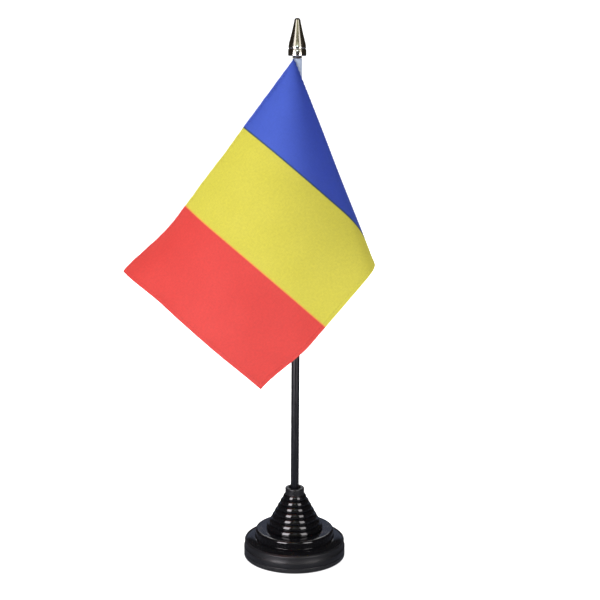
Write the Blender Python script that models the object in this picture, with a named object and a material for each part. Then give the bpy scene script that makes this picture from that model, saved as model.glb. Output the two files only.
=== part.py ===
"""Desk flag stand.

A ribbed black plastic base weighted with a steel disc, a black tube standing in
its socket, a plated pointed finial, and a three-colour cloth flag on a sleeve
that is trapped under the finial.

Metres, +Z up.  The pole axis is the Z axis and z = 0 is the underside of the
anti-slip pad.  The front of the stand is -Y.
"""

import math

import bmesh
import bpy
from mathutils import Vector

MM = 0.001
GAP = 0.3 * MM

# base shell, outside
SHELL_R = 40.0 * MM
SHELL_BOTTOM_Z = 4.4 * MM
BAND_TOP_Z = 8.6 * MM
DRUM_R = 39.4 * MM
DRUM_TOP_Z = 13.0 * MM
SHOULDER_R = 36.5 * MM
SHOULDER_Z = 15.3 * MM
TIER_R = 31.3 * MM
TIER_FOOT_Z = 16.7 * MM
TIER_TOP_Z = 22.3 * MM
CONE_FOOT_R = 22.5 * MM

# base shell, ribbed cone and collar
RIB_COUNT = 7
RIB_BOTTOM_R = 21.7 * MM
RIB_TOP_R = 8.6 * MM
RIB_BOTTOM_Z = 24.4 * MM
RIB_TOP_Z = 48.9 * MM
RIB_BULGE = 0.9 * MM
RIB_ARC_STEPS = 5
COLLAR_R = 7.45 * MM
COLLAR_FOOT_Z = 50.6 * MM
COLLAR_TOP_Z = 56.0 * MM
MOUTH_R = 4.6 * MM
MOUTH_DEPTH = 1.8 * MM

# base shell, inside
SHELL_WALL = 2.2 * MM
SOCKET_WALL = 2.0 * MM
SOCKET_SLACK = 0.15 * MM
SOCKET_FLOOR_Z = 12.0 * MM
SOCKET_FLOOR_THICK = 2.0 * MM
ROOF_Z = 20.0 * MM
CAVITY_TOP_Z = 40.0 * MM

# steel disc, bottom cover and pad
DISC_R = 28.4 * MM
DISC_THICK = 6.6 * MM
DISC_BORE_R = 9.0 * MM
COVER_UNDER_Z = 0.4 * MM
COVER_RIM_TOP_Z = 4.1 * MM
COVER_PLATE_TOP_Z = 3.0 * MM
LOCATING_RING_R = 36.8 * MM
LOCATING_RING_WALL = 1.6 * MM
LOCATING_RING_TOP_Z = 8.5 * MM
PROP_RING_R = 24.0 * MM
PROP_RING_WALL = 1.8 * MM
PAD_R = 36.0 * MM
PAD_THICK = 1.0 * MM

# pole and finial
POLE_R = 3.2 * MM
POLE_BORE_R = 2.2 * MM
POLE_TOP_Z = 387.2 * MM
PLUG_FLANGE_R = 3.5 * MM
PLUG_FLANGE_THICK = 1.2 * MM
PLUG_FLANGE_Z = 388.3 * MM
PLUG_SPIGOT_LENGTH = 14.0 * MM
PLUG_NECK_R = 2.9 * MM
PLUG_NECK_LENGTH = 6.0 * MM
FINIAL_FOOT_Z = 389.8 * MM
FINIAL_LENGTH = 27.5 * MM
FINIAL_BAND_R = 6.7 * MM
FINIAL_NOSE_R = 1.9 * MM

# sleeve
SLEEVE_R = 3.58 * MM
SLEEVE_SLACK = 0.12 * MM
SLEEVE_LENGTH = 145.7 * MM
SLEEVE_TOP_Z = 388.0 * MM
SLEEVE_LIP_R = 2.5 * MM
SLEEVE_LIP_THICK = 0.5 * MM
SEAM_OUTER_R = 4.15 * MM
SEAM_THICK = 1.0 * MM

# cloth
STRIPE_WIDTHS = (62.6 * MM, 72.0 * MM, 65.4 * MM)
CLOTH_DROP = 145.7 * MM
CLOTH_THICK = 0.4 * MM
CORNER_X = -2.2 * MM
CORNER_Y = -4.0 * MM
CORNER_Z = 388.3 * MM
FOLD_MIDDLE = math.radians(26.2)
FOLD_HALF_WIDTH = math.radians(8.0)
HEADING_AT_POLE = math.radians(19.2)
HEADING_PAST_FOLD = math.radians(172.1)
HEADING_AT_TOP = math.radians(239.6)
TOP_CORNER_PULL = (-8.4 * MM, 0.0, 3.0 * MM)
TOP_PULL_FROM_FLY = 0.74
TOP_PULL_TO_DROP = 0.30
LOW_CORNER_PULL = (-4.0 * MM, 1.4 * MM, 4.6 * MM)
LOW_PULL_FROM_FLY = 0.75
LOW_PULL_FROM_DROP = 0.61
STEPS_TO_FLY_CORNER = 28
STEPS_TO_TOP_EDGE = 14
CLOTH_RUN_STEPS = 22
WALK_STEPS = 4
NARROWEST_RUN = 4.0 * MM

ROUND_STEPS = 64
POLE_STEPS = 32


def clear_scene():
    for scene_object in list(bpy.data.objects):
        bpy.data.objects.remove(scene_object, do_unlink=True)


def make_material(name, colour, roughness, metallic):
    material = bpy.data.materials.new(name)
    material.use_nodes = True
    shader = material.node_tree.nodes["Principled BSDF"]
    shader.inputs["Base Color"].default_value = (*colour, 1.0)
    shader.inputs["Roughness"].default_value = roughness
    shader.inputs["Metallic"].default_value = metallic
    material.diffuse_color = (*colour, 1.0)
    material.roughness = roughness
    material.metallic = metallic
    return material


def add_object(name, mesh, material, origin=(0.0, 0.0, 0.0)):
    mesh.materials.append(material)
    new_object = bpy.data.objects.new(name, mesh)
    new_object.location = origin
    bpy.context.scene.collection.objects.link(new_object)
    return new_object


def smooth_by_angle(target, degrees=32.0):
    bpy.context.view_layer.objects.active = target
    for polygon in target.data.polygons:
        polygon.use_smooth = True
    target.data.set_sharp_from_angle(angle=math.radians(degrees))


def turned_mesh(name, profile, steps):
    """Solid of revolution about Z from a closed (radius, height) outline."""
    mesh = bpy.data.meshes.new(name)
    work = bmesh.new()
    rings = []
    for radius, height in profile:
        if radius < 1e-9:
            rings.append([work.verts.new((0.0, 0.0, height))])
            continue
        ring = []
        for step in range(steps):
            angle = 2.0 * math.pi * step / steps
            ring.append(work.verts.new((radius * math.cos(angle), radius * math.sin(angle), height)))
        rings.append(ring)
    for index, lower in enumerate(rings):
        upper = rings[(index + 1) % len(rings)]
        if len(lower) == 1 and len(upper) == 1:
            continue
        for step in range(steps):
            after = (step + 1) % steps
            if len(lower) == 1:
                work.faces.new((lower[0], upper[after], upper[step]))
            elif len(upper) == 1:
                work.faces.new((lower[step], lower[after], upper[0]))
            else:
                work.faces.new((lower[step], lower[after], upper[after], upper[step]))
    bmesh.ops.recalc_face_normals(work, faces=work.faces)
    if work.calc_volume(signed=True) < 0.0:
        bmesh.ops.reverse_faces(work, faces=work.faces)
    work.to_mesh(mesh)
    work.free()
    return mesh


def add_turned(name, profile, material, steps=ROUND_STEPS, base_z=0.0):
    """Turned solid whose origin stands on the pole axis at base_z."""
    lowered = [(radius, height - base_z) for radius, height in profile]
    solid = add_object(name, turned_mesh(name, lowered, steps), material, (0.0, 0.0, base_z))
    smooth_by_angle(solid)
    return solid


def rib_outline():
    """Seven rounded rings stacked up the cone, from the foot to the collar."""
    outline = []
    pitch = (RIB_TOP_Z - RIB_BOTTOM_Z) / (RIB_COUNT - 1)
    half = 0.5 * pitch
    for rib in range(RIB_COUNT):
        share = rib / (RIB_COUNT - 1)
        radius = RIB_BOTTOM_R + (RIB_TOP_R - RIB_BOTTOM_R) * share
        height = RIB_BOTTOM_Z + (RIB_TOP_Z - RIB_BOTTOM_Z) * share
        step_in = (RIB_BOTTOM_R - RIB_TOP_R) / (RIB_COUNT - 1)
        for step in range(RIB_ARC_STEPS):
            across = step / (RIB_ARC_STEPS - 1)
            lift = height - 0.96 * half + 1.92 * half * across
            lean = 0.45 * step_in * (1.0 - 2.0 * across)
            bulge = RIB_BULGE * (math.sin(math.pi * across) - 0.45)
            outline.append((radius + lean + bulge, lift))
    return outline


def shell_outline():
    socket_r = POLE_R + SOCKET_SLACK
    tube_r = socket_r + SOCKET_WALL
    inner_r = SHELL_R - SHELL_WALL - 0.6 * MM
    tier_inner_r = TIER_R - SHELL_WALL
    outside = [
        (inner_r, SHELL_BOTTOM_Z),
        (SHELL_R - 0.3 * MM, SHELL_BOTTOM_Z),
        (SHELL_R, SHELL_BOTTOM_Z + 0.3 * MM),
        (SHELL_R, BAND_TOP_Z - 0.25 * MM),
        (SHELL_R - 0.25 * MM, BAND_TOP_Z),
        (DRUM_R, BAND_TOP_Z + 0.15 * MM),
        (DRUM_R, DRUM_TOP_Z),
        (DRUM_R - 0.4 * MM, DRUM_TOP_Z + 0.7 * MM),
        (SHOULDER_R, SHOULDER_Z),
        (SHOULDER_R - 2.6 * MM, SHOULDER_Z + 0.8 * MM),
        (TIER_R + 0.3 * MM, TIER_FOOT_Z - 0.1 * MM),
        (TIER_R, TIER_FOOT_Z + 0.3 * MM),
        (TIER_R - 0.5 * MM, TIER_TOP_Z - 1.6 * MM),
        (TIER_R - 1.0 * MM, TIER_TOP_Z - 0.6 * MM),
        (TIER_R - 1.9 * MM, TIER_TOP_Z - 0.1 * MM),
        (TIER_R - 3.0 * MM, TIER_TOP_Z),
        (CONE_FOOT_R, TIER_TOP_Z),
    ]
    collar = [
        (COLLAR_R, COLLAR_FOOT_Z + 0.4 * MM),
        (COLLAR_R, COLLAR_TOP_Z - 1.1 * MM),
        (COLLAR_R - 0.35 * MM, COLLAR_TOP_Z - 0.35 * MM),
        (COLLAR_R - 1.1 * MM, COLLAR_TOP_Z),
        (MOUTH_R + 0.5 * MM, COLLAR_TOP_Z),
        (MOUTH_R, COLLAR_TOP_Z - 0.3 * MM),
        (socket_r, COLLAR_TOP_Z - MOUTH_DEPTH),
    ]
    inside = [
        (socket_r, SOCKET_FLOOR_Z),
        (0.0, SOCKET_FLOOR_Z),
        (0.0, SOCKET_FLOOR_Z - SOCKET_FLOOR_THICK),
        (tube_r, SOCKET_FLOOR_Z - SOCKET_FLOOR_THICK),
        (tube_r, CAVITY_TOP_Z),
        (tube_r + 1.6 * MM, CAVITY_TOP_Z),
        (CONE_FOOT_R - 2.6 * MM, ROOF_Z),
        (tier_inner_r, ROOF_Z),
        (tier_inner_r, TIER_FOOT_Z - SHELL_WALL),
        (SHOULDER_R - 0.6 * MM, SHOULDER_Z - SHELL_WALL),
        (inner_r, DRUM_TOP_Z - SHELL_WALL),
    ]
    return outside + rib_outline() + collar + inside


def disc_outline():
    top = ROOF_Z - GAP
    bottom = top - DISC_THICK
    edge = 0.5 * MM
    return [
        (DISC_BORE_R, bottom),
        (DISC_R - edge, bottom),
        (DISC_R, bottom + edge),
        (DISC_R, top - edge),
        (DISC_R - edge, top),
        (DISC_BORE_R, top),
    ]


def cover_outline():
    recess_r = PAD_R + 0.5 * MM
    recess_z = PAD_THICK + GAP
    ring_r = LOCATING_RING_R
    prop_top = ROOF_Z - GAP - DISC_THICK - GAP
    return [
        (0.0, recess_z),
        (recess_r, recess_z),
        (recess_r, COVER_UNDER_Z),
        (SHELL_R - 0.6 * MM, COVER_UNDER_Z),
        (SHELL_R, COVER_UNDER_Z + 0.5 * MM),
        (SHELL_R, COVER_RIM_TOP_Z - 0.3 * MM),
        (SHELL_R - 0.3 * MM, COVER_RIM_TOP_Z),
        (ring_r, COVER_RIM_TOP_Z),
        (ring_r, LOCATING_RING_TOP_Z - 0.5 * MM),
        (ring_r - 0.5 * MM, LOCATING_RING_TOP_Z),
        (ring_r - LOCATING_RING_WALL, LOCATING_RING_TOP_Z),
        (ring_r - LOCATING_RING_WALL, COVER_PLATE_TOP_Z),
        (PROP_RING_R, COVER_PLATE_TOP_Z),
        (PROP_RING_R, prop_top),
        (PROP_RING_R - PROP_RING_WALL, prop_top),
        (PROP_RING_R - PROP_RING_WALL, COVER_PLATE_TOP_Z),
        (0.0, COVER_PLATE_TOP_Z),
    ]


def pad_outline():
    return [(0.0, 0.0), (PAD_R, 0.0), (PAD_R, PAD_THICK), (0.0, PAD_THICK)]


def pole_outline():
    foot = SOCKET_FLOOR_Z + GAP
    edge = 0.3 * MM
    return [
        (POLE_BORE_R, foot),
        (POLE_R - edge, foot),
        (POLE_R, foot + edge),
        (POLE_R, POLE_TOP_Z - edge),
        (POLE_R - edge, POLE_TOP_Z),
        (POLE_BORE_R, POLE_TOP_Z),
    ]


def plug_outline():
    """Spigot in the tube, flange over the sleeve, neck inside the finial."""
    flange_bottom = PLUG_FLANGE_Z
    flange_top = flange_bottom + PLUG_FLANGE_THICK
    spigot_r = POLE_BORE_R - 0.05 * MM
    return [
        (0.0, flange_bottom - PLUG_SPIGOT_LENGTH),
        (spigot_r - 0.5 * MM, flange_bottom - PLUG_SPIGOT_LENGTH),
        (spigot_r, flange_bottom - PLUG_SPIGOT_LENGTH + 0.8 * MM),
        (spigot_r, flange_bottom),
        (PLUG_FLANGE_R, flange_bottom),
        (PLUG_FLANGE_R, flange_top),
        (PLUG_NECK_R, flange_top),
        (PLUG_NECK_R, flange_top + PLUG_NECK_LENGTH - 0.5 * MM),
        (PLUG_NECK_R - 0.5 * MM, flange_top + PLUG_NECK_LENGTH),
        (0.0, flange_top + PLUG_NECK_LENGTH),
    ]


def finial_outline():
    """Plated spear point with a band and a groove at its foot, blind bore below."""
    foot = FINIAL_FOOT_Z
    tip = foot + FINIAL_LENGTH
    band = FINIAL_BAND_R
    bore_r = PLUG_NECK_R + GAP
    bore_top = foot + PLUG_NECK_LENGTH + 0.6 * MM
    return [
        (bore_r, foot),
        (band - 0.6 * MM, foot),
        (band - 0.15 * MM, foot + 0.5 * MM),
        (band, foot + 1.8 * MM),
        (band, foot + 3.2 * MM),
        (band - 0.15 * MM, foot + 4.6 * MM),
        (band - 0.5 * MM, foot + 5.4 * MM),
        (band - 0.35 * MM, foot + 6.0 * MM),
        (band - 0.3 * MM, foot + 6.8 * MM),
        (band - 0.78 * MM, foot + 9.7 * MM),
        (band - 1.62 * MM, foot + 12.6 * MM),
        (band - 2.40 * MM, foot + 16.1 * MM),
        (band - 3.20 * MM, foot + 19.7 * MM),
        (band - 4.02 * MM, foot + 23.3 * MM),
        (FINIAL_NOSE_R + 0.35 * MM, tip - 1.8 * MM),
        (FINIAL_NOSE_R, tip - 0.9 * MM),
        (0.6 * FINIAL_NOSE_R, tip - 0.25 * MM),
        (0.0, tip),
        (0.0, bore_top),
        (bore_r, bore_top),
    ]


def add_sleeve(material):
    """Tape tube round the pole, sewn seam at its front left, stitched-in top.

    The lip at the top hangs on the end of the pole, under the plug's flange.
    """
    seam_angle = math.atan2(CORNER_Y, CORNER_X)
    half_seam = 0.5 * SEAM_THICK / SLEEVE_R
    sweep = 2.0 * math.pi - 2.0 * half_seam
    angles = [seam_angle + half_seam + sweep * step / POLE_STEPS for step in range(POLE_STEPS + 1)]
    along = Vector((math.cos(seam_angle), math.sin(seam_angle), 0.0))
    across = Vector((-along.y, along.x, 0.0))
    bore_r = POLE_R + SLEEVE_SLACK
    lip_z = -SLEEVE_LIP_THICK
    levels = (
        (SLEEVE_R, -SLEEVE_LENGTH),
        (SLEEVE_R, 0.0),
        (SLEEVE_LIP_R, 0.0),
        (SLEEVE_LIP_R, lip_z),
        (bore_r, lip_z),
        (bore_r, -SLEEVE_LENGTH),
    )

    mesh = bpy.data.meshes.new("flag_sleeve")
    work = bmesh.new()
    hoops = []
    for radius, height in levels:
        hoops.append([work.verts.new((radius * math.cos(a), radius * math.sin(a), height)) for a in angles])
    for index, hoop in enumerate(hoops):
        following = hoops[(index + 1) % len(hoops)]
        for step in range(POLE_STEPS):
            work.faces.new((hoop[step], hoop[step + 1], following[step + 1], following[step]))
    low, top, lip_top, lip_low, bore_top, bore_low = hoops
    last = POLE_STEPS
    for first, second in ((lip_top, lip_low), (lip_low, bore_top), (bore_top, bore_low)):
        work.faces.new((first[last], first[0], second[0], second[last]))
    seam = []
    for height in (-SLEEVE_LENGTH, 0.0):
        for side in (-0.5, 0.5):
            edge = along * SEAM_OUTER_R + across * (SEAM_THICK * side)
            seam.append(work.verts.new((edge.x, edge.y, height)))
    low_right, low_left, top_right, top_left = seam
    work.faces.new((low[last], low_right, top_right, top[last]))
    work.faces.new((low_right, low_left, top_left, top_right))
    work.faces.new((low_left, low[0], top[0], top_left))
    work.faces.new((low[0], low_left, low_right, low[last], bore_low[last], bore_low[0]))
    work.faces.new((lip_top[0], lip_top[last], top[last], top_right, top_left, top[0]))
    bmesh.ops.recalc_face_normals(work, faces=work.faces)
    if work.calc_volume(signed=True) < 0.0:
        bmesh.ops.reverse_faces(work, faces=work.faces)
    work.to_mesh(mesh)
    work.free()
    sleeve = add_object("flag_sleeve", mesh, material, (0.0, 0.0, SLEEVE_TOP_Z))
    smooth_by_angle(sleeve)
    return sleeve


def smooth_share(value, start, end):
    share = min(1.0, max(0.0, (value - start) / (end - start)))
    return share * share * (3.0 - 2.0 * share)


def cloth_heading(flat_angle):
    """Which way the directions move: 0 is to the right, 90 forward, 180 to the left."""
    fold_start = FOLD_MIDDLE - FOLD_HALF_WIDTH
    fold_end = FOLD_MIDDLE + FOLD_HALF_WIDTH
    turned = (HEADING_PAST_FOLD - HEADING_AT_POLE) * smooth_share(flat_angle, fold_start, fold_end)
    past = max(0.0, (flat_angle - fold_end) / (0.5 * math.pi - fold_end))
    leaned = (HEADING_AT_TOP - HEADING_PAST_FOLD) * past * past
    return HEADING_AT_POLE + turned + leaned


def cloth_directions(flat_angles):
    """Directions from the top hoist corner for angles measured on the flat cloth.

    The cloth hangs as a cone from that corner: straight down along the pole,
    out to the right, round a soft fold and back across the front to the left.
    Walking one unit of arc per unit of flat angle keeps the cloth its own size.
    """
    swing = 0.0
    forward = 0.0
    reached = 0.0
    directions = []
    for flat_angle in flat_angles:
        turn = (flat_angle - reached) / WALK_STEPS
        for step in range(WALK_STEPS):
            heading = cloth_heading(reached + (step + 0.5) * turn)
            swing += turn * math.cos(heading) / math.cos(forward)
            forward += turn * math.sin(heading)
        reached = flat_angle
        across = math.cos(forward)
        directions.append(Vector((
            across * math.sin(swing),
            -math.sin(forward),
            -across * math.cos(swing),
        )))
    return directions


def corner_pull(across, down):
    """How far the two free corners stray from the cone, for a point of the flat cloth."""
    fly = sum(STRIPE_WIDTHS)
    near_top = smooth_share(across, TOP_PULL_FROM_FLY * fly, fly)
    near_top *= 1.0 - smooth_share(down, 0.0, TOP_PULL_TO_DROP * CLOTH_DROP)
    near_low = smooth_share(across, LOW_PULL_FROM_FLY * fly, fly)
    near_low *= smooth_share(down, LOW_PULL_FROM_DROP * CLOTH_DROP, CLOTH_DROP)
    return Vector(TOP_CORNER_PULL) * near_top + Vector(LOW_CORNER_PULL) * near_low


def add_cloth(material):
    """One thin sheet, its thickness laid towards the inside of the cone."""
    fly = sum(STRIPE_WIDTHS)
    corner_angle = math.atan2(fly, CLOTH_DROP)
    flat_angles = [corner_angle * step / STEPS_TO_FLY_CORNER for step in range(STEPS_TO_FLY_CORNER)]
    beyond = 0.5 * math.pi - corner_angle
    for step in range(STEPS_TO_TOP_EDGE + 1):
        flat_angles.append(corner_angle + beyond * step / STEPS_TO_TOP_EDGE)
    directions = cloth_directions(flat_angles)
    corner = Vector((CORNER_X, CORNER_Y, 0.0))
    mesh = bpy.data.meshes.new("flag_cloth")
    work = bmesh.new()
    inner = []
    outer = []
    last_row = len(directions) - 1
    for index, direction in enumerate(directions):
        before = directions[max(0, index - 1)]
        after = directions[min(last_row, index + 1)]
        outward = (after - before).cross(direction).normalized()
        if index <= STEPS_TO_FLY_CORNER:
            reach = CLOTH_DROP / math.cos(flat_angles[index])
        else:
            reach = fly / math.sin(flat_angles[index])
        outer_row = []
        inner_row = []
        for step in range(CLOTH_RUN_STEPS + 1):
            run = NARROWEST_RUN + (reach - NARROWEST_RUN) * step / CLOTH_RUN_STEPS
            across = run * math.sin(flat_angles[index])
            down = run * math.cos(flat_angles[index])
            place = corner + direction * run + corner_pull(across, down)
            outer_row.append(work.verts.new(place))
            inner_row.append(work.verts.new(place - outward * CLOTH_THICK))
        outer.append(outer_row)
        inner.append(inner_row)
    for row in range(last_row):
        for step in range(CLOTH_RUN_STEPS):
            for skin in (outer, inner):
                near = skin[row]
                far = skin[row + 1]
                work.faces.new((near[step], near[step + 1], far[step + 1], far[step]))
        for step in (0, CLOTH_RUN_STEPS):
            work.faces.new((outer[row][step], outer[row + 1][step], inner[row + 1][step], inner[row][step]))
    for row in (0, last_row):
        for step in range(CLOTH_RUN_STEPS):
            work.faces.new((outer[row][step], inner[row][step], inner[row][step + 1], outer[row][step + 1]))
    bmesh.ops.recalc_face_normals(work, faces=work.faces)
    if work.calc_volume(signed=True) < 0.0:
        bmesh.ops.reverse_faces(work, faces=work.faces)
    work.to_mesh(mesh)
    work.free()
    cloth = add_object("flag_cloth", mesh, material, (0.0, 0.0, CORNER_Z))
    smooth_by_angle(cloth, 50.0)
    return cloth


def parent_in_place(child, parent):
    child.parent = parent
    child.location = child.location - parent.location


def build():
    clear_scene()
    gloss_black = make_material("gloss_black_plastic", (0.012, 0.012, 0.014), 0.18, 0.0)
    cover_black = make_material("cover_black_plastic", (0.02, 0.02, 0.022), 0.32, 0.0)
    steel = make_material("zinc_steel", (0.45, 0.45, 0.46), 0.38, 1.0)
    foam = make_material("black_foam_rubber", (0.03, 0.03, 0.03), 0.9, 0.0)
    tube_black = make_material("satin_black_plastic", (0.03, 0.03, 0.035), 0.38, 0.0)
    plug_black = make_material("plug_black_plastic", (0.02, 0.02, 0.02), 0.5, 0.0)
    plated = make_material("nickel_plating", (0.72, 0.70, 0.64), 0.12, 1.0)
    tape = make_material("white_tape", (0.72, 0.76, 0.82), 0.85, 0.0)
    cloth_cover = make_material("printed_polyester", (0.70, 0.62, 0.12), 0.7, 0.0)

    shell = add_turned("base_shell", shell_outline(), gloss_black)
    disc = add_turned("ballast_disc", disc_outline(), steel)
    cover = add_turned("bottom_cover", cover_outline(), cover_black)
    pad = add_turned("anti_slip_pad", pad_outline(), foam)
    pole = add_turned("pole_tube", pole_outline(), tube_black, POLE_STEPS, SOCKET_FLOOR_Z)
    plug = add_turned("finial_plug", plug_outline(), plug_black, POLE_STEPS, POLE_TOP_Z)
    tip = add_turned("finial_tip", finial_outline(), plated, 48, FINIAL_FOOT_Z)
    sleeve = add_sleeve(tape)
    cloth = add_cloth(cloth_cover)

    for fixed in (disc, cover, pad, pole):
        parent_in_place(fixed, shell)
    for carried in (plug, sleeve):
        carried.parent = pole
        carried.location = carried.location - Vector((0.0, 0.0, SOCKET_FLOOR_Z))
    tip.parent = plug
    tip.location = tip.location - Vector((0.0, 0.0, POLE_TOP_Z))
    cloth.parent = sleeve
    cloth.location = cloth.location - Vector((0.0, 0.0, SLEEVE_TOP_Z))


build()
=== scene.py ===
"""Looks of the desk flag stand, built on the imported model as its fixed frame.

Metres, +Z up, the pole axis is Z and the front of the stand is -Y.  The steel
disc and the foam pad keep their CAD meshes under better materials; every other
part is replaced by a finer piece in the same place.
"""

import math

import bmesh
import bpy
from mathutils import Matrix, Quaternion, Vector


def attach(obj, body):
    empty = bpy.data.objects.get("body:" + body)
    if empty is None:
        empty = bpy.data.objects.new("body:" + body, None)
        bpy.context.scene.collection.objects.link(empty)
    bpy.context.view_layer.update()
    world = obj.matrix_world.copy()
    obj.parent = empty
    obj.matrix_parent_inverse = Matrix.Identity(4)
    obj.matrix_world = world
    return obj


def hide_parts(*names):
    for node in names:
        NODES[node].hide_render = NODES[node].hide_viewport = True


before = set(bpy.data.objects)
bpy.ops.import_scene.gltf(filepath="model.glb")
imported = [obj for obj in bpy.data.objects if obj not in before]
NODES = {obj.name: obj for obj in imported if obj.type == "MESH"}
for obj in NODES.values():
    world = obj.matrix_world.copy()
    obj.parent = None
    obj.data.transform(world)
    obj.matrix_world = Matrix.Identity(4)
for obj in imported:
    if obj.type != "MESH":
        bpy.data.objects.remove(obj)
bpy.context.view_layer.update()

MM = 0.001

# camera
CAMERA_PLACE = (0.0032, -0.957, 0.4101)
CAMERA_PITCH = math.radians(12.0)
CAMERA_ROLL = math.radians(0.37)
CAMERA_LENS = 76.86

# white sweep behind and under the stand
SWEEP_FRONT_Y = -12.0
SWEEP_BACK_Y = 1.6
SWEEP_BEND_R = 0.8
SWEEP_BEND_STEPS = 12
SWEEP_TOP_Z = 3.5
SWEEP_HALF_WIDTH = 12.0
SWEEP_GLOW = 0.85

# world: the light that every surface gets, and the dim studio that reflections see
WORLD_FILL = 0.38
STUDIO_DARK = (0.022, 0.018, 0.013)
STUDIO_FRONT = (0.46, 0.45, 0.30)
STUDIO_BACK = (0.20, 0.23, 0.32)
STUDIO_FLOOR = (0.13, 0.14, 0.18)
WHITE = (1.0, 1.0, 1.0)
BLACK = (0.0, 0.0, 0.0)

# lights that surfaces get: name, place, target, (width, height), power
SURFACE_LIGHTS = (
    ("key_left", (-1.2, -1.1, 0.9), (0.0, 0.0, 0.2), (0.9, 0.9), 14.5),
    ("fill_right", (1.0, -1.0, 0.8), (0.0, 0.0, 0.2), (0.9, 0.9), 0.8),
    ("top_light", (0.0, 0.1, 1.8), (0.0, 0.0, 0.0), (1.4, 1.4), 8.0),
    ("back_light", (-0.2, 1.3, 0.8), (0.0, 0.0, 0.25), (1.6, 1.2), 34.0),
)

# lights only seen in reflections: the same values, then a colour
REFLECTED_LIGHTS = (
    ("far_left", (-0.74, -0.98, 0.78), (0.0, 0.0, 0.45), (0.62, 1.4), 3.8, (1.0, 0.97, 0.95)),
    ("far_right", (0.80, -0.93, 0.78), (0.0, 0.0, 0.45), (0.52, 1.4), 2.5, (1.0, 0.97, 0.92)),
    ("near_left", (-0.265, -0.365, 0.205), (0.0, 0.0, 0.035), (0.22, 0.37), 2.7, (1.0, 0.95, 1.0)),
    ("near_right", (0.285, -0.345, 0.205), (0.0, 0.0, 0.035), (0.19, 0.37), 1.2, (1.0, 0.96, 0.98)),
    ("front_window", (0.01, -0.58, 0.495), (0.0, 0.0, 0.04), (0.20, 0.09), 0.20, (0.72, 0.88, 1.0)),
    ("far_back", (0.0, 1.2, 1.05), (0.0, 0.0, 0.40), (0.45, 0.80), 2.8, (1.0, 0.98, 0.95)),
)

# cloth, the same drape as the CAD sheet
STRIPE_WIDTHS = (62.6 * MM, 72.0 * MM, 65.4 * MM)
FLY = sum(STRIPE_WIDTHS)
DROP = 145.7 * MM
CORNER = Vector((-2.2 * MM, -4.0 * MM, 388.3 * MM))
FOLD_MIDDLE = math.radians(26.2)
FOLD_HALF_WIDTH = math.radians(8.0)
HEADING_AT_POLE = math.radians(19.2)
HEADING_PAST_FOLD = math.radians(172.1)
HEADING_AT_TOP = math.radians(239.6)
TOP_CORNER_PULL = Vector((-8.4 * MM, 0.0, 3.0 * MM))
LOW_CORNER_PULL = Vector((-4.0 * MM, 1.4 * MM, 4.6 * MM))
WALK_STEPS = 900
GRID_STEP = 1.6 * MM
FLAT_UNIT = 100.0 * MM  # of cloth or tape, to one unit of the flat coordinates

# make-up of the cloth: its own thickness, the turned hem and the stitching
CLOTH_THICK = 0.22 * MM
HEM_WIDTH = 3.6 * MM
HEM_FRONT_LIFT = 0.07 * MM
HEM_BACK_LIFT = 0.20 * MM
HEM_STITCH_AT = 2.75 * MM
STITCH_PITCH = 2.7 * MM
STITCH_LENGTH = 2.0 * MM
STITCH_SHAPE = ((-0.5, -0.10), (-0.3, 0.03), (0.0, 0.07), (0.3, 0.03), (0.5, -0.10))  # share, lift in mm
THREAD_R = 0.12 * MM
THREAD_SIDES = 6
TOP_HEM_START = 11.0 * MM
LOW_HEM_END = 2.0 * MM
BAR_TURNS = 4
BAR_THREAD_R = 0.15 * MM
SEAM_ROWS = (1.2 * MM, 2.6 * MM)
SEAM_START = 13.0 * MM
SEAM_STOP_SHORT = 1.5 * MM
HEM_LINES = (0.0, 0.12, 0.4, 0.9, 1.6, 2.3, 2.58, 2.75, 2.92, 3.2, 3.5, 3.75, 4.1, 4.9)  # mm

# dyes, each between two tones, and how much light shines through them
BLUE_DYES = ((0.044, 0.086, 0.46), (0.058, 0.108, 0.55))
YELLOW_DYES = ((0.71, 0.650, 0.064), (0.79, 0.725, 0.094))
RED_DYES = ((0.76, 0.054, 0.046), (0.85, 0.074, 0.064))
FIRST_BORDER_DYE = (0.012, 0.035, 0.06)
SECOND_BORDER_DYE = (0.95, 0.46, 0.08)
BLUE_THROUGH = 0.60
OTHER_THROUGH = 0.31
THROUGH_GAMMA = 0.42
WEAVE_PITCH_MM = 0.42

# sleeve tape
TAPE_R = 3.46 * MM
TAPE_HALF_THICK = 0.1 * MM
TAPE_TOP = 0.3 * MM
TAPE_LEG = 3.4 * MM
TAPE_LEG_SHARES = (1.0, 0.66, 0.33, 0.05)
TAPE_OPENING = math.radians(22.0)
TAPE_ROUND_STEPS = 46
TAPE_DOWN_STEPS = 92
TAPE_TOP_SQUEEZE = (0.93, 0.975, 0.995)
TAPE_HEM_WIDTH = 6.0 * MM
TAPE_HEM_LIFT = 0.09 * MM
TWILL_PITCH_MM = 0.55
TAPE_RIB_PITCH_MM = 0.32

# base, pole and finial sizes shared with the CAD part
POLE_R = 3.2 * MM
POLE_FOOT_Z = 12.3 * MM
POLE_TOP_Z = 387.2 * MM
POLE_BORE_R = 2.2 * MM
SOCKET_R = 3.35 * MM

# edges sharper than this stay sharp, in degrees
TURNED_SHARP = 38.0
SHEET_SHARP = 60.0


# ---------------------------------------------------------------- node helpers

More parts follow.
